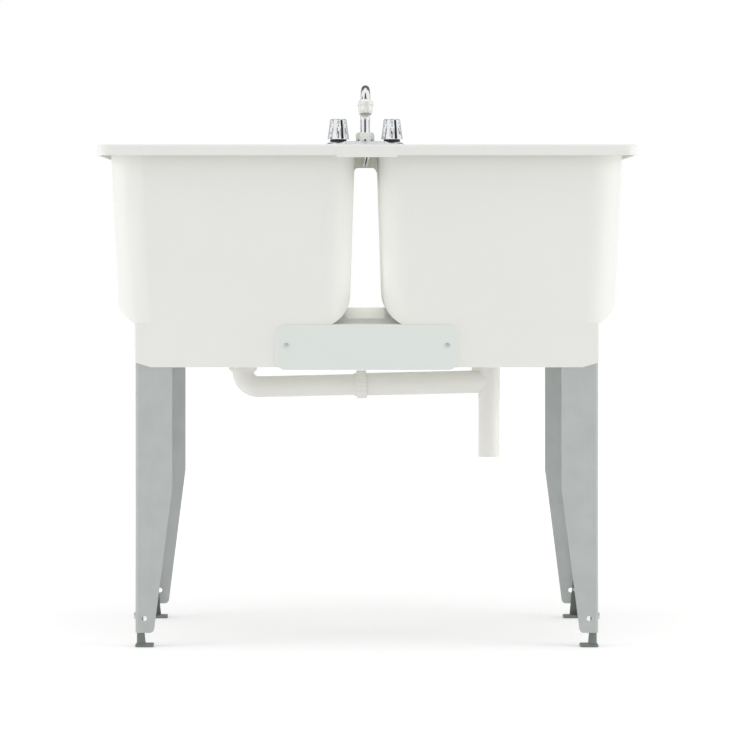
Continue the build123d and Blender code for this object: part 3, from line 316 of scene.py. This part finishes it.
# The scallops, cut by a spindle whose axis leans with the knob's side, and the part of the skin that they reach.
scallops = 8
scallop_lean = math.radians(7.6)
scallop_half_length, scallop_half_width, scallop_line = 0.023, 0.0057, 0.0215
scallop_middle = (knob_bottom + knob_top) / 2
edge_softness = 0.0005
scalloped_beyond, scalloped_above = 0.0136, knob_bottom + 0.0004


def stroke(start, end, points):
    """Evenly spaced (radius, height) points from the start up to, not including, the end."""
    share = np.linspace(0, 1, points, endpoint=False)[:, None]
    return np.array(start) * (1 - share) + np.array(end) * share


def corner(start, end, points, upright_first=True):
    """A quarter of an ellipse from the start to the end: it leaves along the height and arrives along the
    radius, or the other way round."""
    turn = np.linspace(0, math.pi / 2, points, endpoint=False)[:, None]
    start, end = np.array(start), np.array(end)
    rise, fall = np.sin(turn), 1 - np.cos(turn)
    share = np.hstack([fall, rise] if upright_first else [rise, fall])
    return start + (end - start) * share


def knob_surface(centre_x, centre_y, columns=320):
    """The knob: its closed outline turned round the axis, where at each height the radius is the lesser of
    the outline's and the near side's of the spindle that cuts the scallop, softly joined. A spindle of
    radius s, whose axis is l away from the knob's, has its near side at l cos a - sqrt(s^2 - (l sin a)^2)
    in the direction that is the angle a off the scallop's middle, and s itself follows an arc along it.
    The number that ends each part of the outline is how many points it has."""
    outline = np.vstack([
        stroke((bore_radius, sleeve_foot), (sleeve_radius, sleeve_foot), 2),
        stroke((sleeve_radius, sleeve_foot), (sleeve_radius, hollow_top), 2),
        stroke((sleeve_radius, hollow_top), (hollow_top_radius, hollow_top), 2),
        stroke((hollow_top_radius, hollow_top), (hollow_mouth_radius, knob_bottom), 2),
        stroke((hollow_mouth_radius, knob_bottom), (foot_radius, knob_bottom), 2),
        corner((foot_radius, knob_bottom), (skirt_radius, skirt_edge), 5, upright_first=False),
        stroke((skirt_radius, skirt_edge), (shoulder_radius, shoulder), 84),
        corner((shoulder_radius, shoulder), (crown_radius, knob_top), 10),
        stroke((crown_radius, knob_top), (recess_mouth_radius, knob_top), 3),
        corner((recess_mouth_radius, knob_top), (recess_radius, recess_edge), 3, upright_first=False),
        stroke((recess_radius, recess_edge), (recess_radius, recess_floor), 2),
        stroke((recess_radius, recess_floor), (bore_radius, recess_floor), 2),
    ])
    angle = np.arange(columns) * 2 * math.pi / columns
    off_scallop = (angle + math.pi / scallops) % (2 * math.pi / scallops) - math.pi / scallops
    radius, height = outline[:, :1], outline[:, 1:]
    along = (height - scallop_middle) / math.cos(scallop_lean)
    arc = (scallop_half_length**2 + scallop_half_width**2) / (2 * scallop_half_width)
    spindle = np.sqrt(np.maximum(arc**2 - along**2, 0)) - (arc - scallop_half_width)
    line = scallop_line - math.tan(scallop_lean) * (height - scallop_middle)
    inside = spindle**2 - (line * np.sin(off_scallop)) ** 2
    near = line * np.cos(off_scallop) - np.sqrt(np.maximum(inside, 0))
    near = np.where((inside > 0) & (spindle > 0), near, 1.0)
    blend = np.clip(0.5 + 0.5 * (near - radius) / edge_softness, 0, 1)
    cut = near * (1 - blend) + radius * blend - edge_softness * blend * (1 - blend)
    skin = (radius > scalloped_beyond) & (height > scalloped_above)
    radius = np.where(skin, cut, radius)
    points = np.stack([
        centre_x + radius * np.cos(angle), centre_y + radius * np.sin(angle),
        np.broadcast_to(height, radius.shape),
    ], axis=-1)
    rows = len(outline)
    row, column = np.meshgrid(np.arange(rows), np.arange(columns), indexing="ij")
    up, on = (row + 1) % rows, (column + 1) % columns
    faces = np.stack([
        row * columns + column, row * columns + on, up * columns + on, up * columns + column,
    ], axis=-1).reshape(-1, 4)
    return points.reshape(-1, 3), faces


crease_angle = math.radians(50)


def grid_piece(name, points, faces, material):
    """A smooth-shaded object of the points and faces given, sharp where faces meet at more than the crease angle."""
    mesh = bpy.data.meshes.new(name)
    mesh.from_pydata(points.tolist(), [], faces.tolist())
    mesh.shade_smooth()
    mesh.set_sharp_from_angle(angle=crease_angle)
    mesh.materials.append(material)
    piece = bpy.data.objects.new(name, mesh)
    bpy.context.scene.collection.objects.link(piece)
    return piece


for valve, place in valve_places.items():
    knob = grid_piece(f"knob_{valve}", *knob_surface(place, faucet_line), chrome)
    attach(knob, f"{valve}_valve")
    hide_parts(f"handle_{valve}")

# --- Floor, light and camera ---
# A pale studio floor between two broad soft lights at the sides, with a weaker one overhead. The air is
# white to the camera and one even grey to matt surfaces; what shines sees white with dark cards in it.


def seen_or_mirrored(tree):
    """One for rays from the camera, from a reflection or through glass, and nought for the rest."""
    path = tree.nodes.new("ShaderNodeLightPath")
    seen = path.outputs["Is Camera Ray"]
    for ray in ("Is Glossy Ray", "Is Transmission Ray"):
        either = tree.nodes.new("ShaderNodeMath")
        either.operation = "MAXIMUM"
        tree.links.new(seen, either.inputs[0])
        tree.links.new(path.outputs[ray], either.inputs[1])
        seen = either.outputs[0]
    return seen


def calculate(tree, operation, first, second=None):
    """The result of a Math node on two sockets or numbers."""
    node = tree.nodes.new("ShaderNodeMath")
    node.operation = operation
    for socket, value in zip(node.inputs, (first, second)):
        if isinstance(value, (int, float)):
            socket.default_value = value
        elif value is not None:
            tree.links.new(value, socket)
    return node.outputs[0]


def ramp(tree, value, start, end, low, high):
    """A smooth step of the value from low at the start to high at the end."""
    node = tree.nodes.new("ShaderNodeMapRange")
    node.interpolation_type = "SMOOTHSTEP"
    tree.links.new(value, node.inputs["Value"])
    for socket, number in (("From Min", start), ("From Max", end), ("To Min", low), ("To Max", high)):
        node.inputs[socket].default_value = number
    return node.outputs["Result"]


# The glow that lifts the floor to white: its strength at the sink's feet and beyond the lamps' reach, and how
# far from the middle these two places lie.
near_glow, far_glow = 0.20, 0.40
near, far = 0.7, 2.6
floor_material, tree, shader = new_material("studio_floor", Roughness=0.9, Specular_IOR_Level=0.1)
shader.inputs["Base Color"].default_value = (0.9, 0.9, 0.9, 1.0)
shader.inputs["Emission Color"].default_value = (1.0, 1.0, 1.0, 1.0)
reach = tree.nodes.new("ShaderNodeVectorMath")
reach.operation = "LENGTH"
tree.links.new(tree.nodes.new("ShaderNodeTexCoord").outputs["Object"], reach.inputs[0])
glow = ramp(tree, reach.outputs["Value"], near, far, near_glow, far_glow)
glow = calculate(tree, "MULTIPLY", glow, seen_or_mirrored(tree))
tree.links.new(glow, shader.inputs["Emission Strength"])

floor_radius = 30.0
floor_sides = 96
floor_mesh = bpy.data.meshes.new("studio_floor")
turn = np.linspace(0, 2 * math.pi, floor_sides, endpoint=False)
edge = np.stack([floor_radius * np.cos(turn), floor_radius * np.sin(turn), np.zeros_like(turn)], axis=1)
floor_mesh.from_pydata(edge.tolist(), [], [list(range(floor_sides))])
floor_mesh.materials.append(floor_material)
floor = bpy.data.objects.new("studio_floor", floor_mesh)
bpy.context.scene.collection.objects.link(floor)


card_softness = 3.0


def between(tree, value, low, high):
    """One where the value lies between low and high, with an edge that fades over the softness to either side."""
    rise = ramp(tree, value, low - card_softness, low + card_softness, 0.0, 1.0)
    fall = ramp(tree, value, high - card_softness, high + card_softness, 1.0, 0.0)
    return calculate(tree, "MULTIPLY", rise, fall)


# How bright the air is for matt surfaces. Then the dark cards that polished metal mirrors, in degrees round
# from the user's side (right is plus) and in height: (from, to, lowest, highest, how dark). The rest is white.
ambient = 0.73
darkest = 0.02
cards = (
    (-24.0, 24.0, -90.0, 4.5, 0.9),
    (-28.0, 28.0, 26.0, 76.0, 0.9),
    (30.0, 60.0, 9.0, 34.0, 0.97),
    (-98.0, -70.0, 9.0, 34.0, 0.8),
    (122.0, 150.0, -90.0, 20.0, 0.5),
    (-150.0, -122.0, -90.0, 20.0, 0.5),
    (125.0, 190.0, 20.0, 62.0, 0.85),
    (-190.0, -125.0, 20.0, 62.0, 0.85),
)

world = bpy.data.worlds.new("studio_air")
bpy.context.scene.world = world
world.use_nodes = True
tree = world.node_tree
split = tree.nodes.new("ShaderNodeSeparateXYZ")
tree.links.new(tree.nodes.new("ShaderNodeTexCoord").outputs["Generated"], split.inputs["Vector"])
towards = calculate(tree, "MULTIPLY", split.outputs["Y"], -1.0)
turned = calculate(tree, "DEGREES", calculate(tree, "ARCTAN2", split.outputs["X"], towards))
height = calculate(tree, "DEGREES", calculate(tree, "ARCSINE", split.outputs["Z"]))
white = 1.0
for first, last, lowest, highest, dark in cards:
    round_about = between(tree, turned, first, last)
    card = calculate(tree, "MULTIPLY", round_about, between(tree, height, lowest, highest))
    white = calculate(tree, "SUBTRACT", white, calculate(tree, "MULTIPLY", card, dark))
white = calculate(tree, "MAXIMUM", white, darkest)
path = tree.nodes.new("ShaderNodeLightPath")
mirrored = tree.nodes.new("ShaderNodeMix")
tree.links.new(path.outputs["Is Glossy Ray"], mirrored.inputs["Factor"])
mirrored.inputs["A"].default_value = 1.0
tree.links.new(white, mirrored.inputs["B"])
level = tree.nodes.new("ShaderNodeMix")
tree.links.new(seen_or_mirrored(tree), level.inputs["Factor"])
level.inputs["A"].default_value = ambient
tree.links.new(mirrored.outputs["Result"], level.inputs["B"])
air = tree.nodes["Background"]
air.inputs["Color"].default_value = (1.0, 1.0, 1.0, 1.0)
tree.links.new(level.outputs["Result"], air.inputs["Strength"])


def soft_light(name, centre, aim, size, power):
    """A rectangular light of the size (across, up) at the centre, turned to the aim point, that neither a mirror
    nor the camera shows. The power is in watts."""
    lamp = bpy.data.lights.new(name, "AREA")
    lamp.shape = "RECTANGLE"
    lamp.size, lamp.size_y = size
    lamp.energy = power
    light = bpy.data.objects.new(name, lamp)
    bpy.context.scene.collection.objects.link(light)
    away = np.array(centre) - np.array(aim)
    light.location = centre
    light.rotation_euler = (math.atan2(math.hypot(away[0], away[1]), away[2]), 0, math.atan2(away[0], -away[1]))
    light.visible_glossy = False
    light.visible_camera = False
    return lamp


sink_middle = (0, 0, 0.6)
soft_light("overhead", centre=(0, -0.3, 3.2), aim=sink_middle, size=(3.0, 2.4), power=16.0)
sides = {"left": -1, "right": 1}
for end, side in sides.items():
    soft_light(f"side_{end}", centre=(3.1 * side, -0.95, 1.1), aim=sink_middle, size=(2.0, 2.4), power=31.0)

# A slim beam into the slot between the bowls, and two weak panels back to back in its middle that face its
# walls, so that its walls, floor and far lip aren't left in the dark.
slot_rear_lip = (0, 0.29, 0.565)
slot_beam = soft_light("slot_beam", centre=(0, -0.8, 0.74), aim=slot_rear_lip, size=(0.03, 0.05), power=0.007)
slot_beam.spread = math.radians(7.0)
slot_y, slot_z = -0.01, 0.70
for end, side in sides.items():
    soft_light(
        f"slot_panel_{end}", centre=(0, slot_y, slot_z), aim=(side, slot_y, slot_z), size=(0.50, 0.24), power=0.09
    )

# The camera in the photograph's own pixels: its focal length, the frame's width, and the column of the frame
# that lies straight ahead of it. It looks level, so the frame is moved down by the shift instead.
focal_pixels, frame_width, ahead_column = 3240.0, 736.0, 346.7
camera_data = bpy.data.cameras.new("camera")
camera_data.sensor_width = 36.0
camera_data.lens = focal_pixels * camera_data.sensor_width / frame_width
camera_data.shift_x = (frame_width / 2 - ahead_column) / frame_width
camera_data.shift_y = -0.1644
camera_data.clip_end = 100.0
camera = bpy.data.objects.new("camera", camera_data)
bpy.context.scene.collection.objects.link(camera)
camera.location = (-0.035, -5.8925, 0.696)
camera.rotation_euler = (math.pi / 2, 0, 0)
bpy.context.scene.camera = camera
bpy.context.scene.view_settings.view_transform = "Standard"
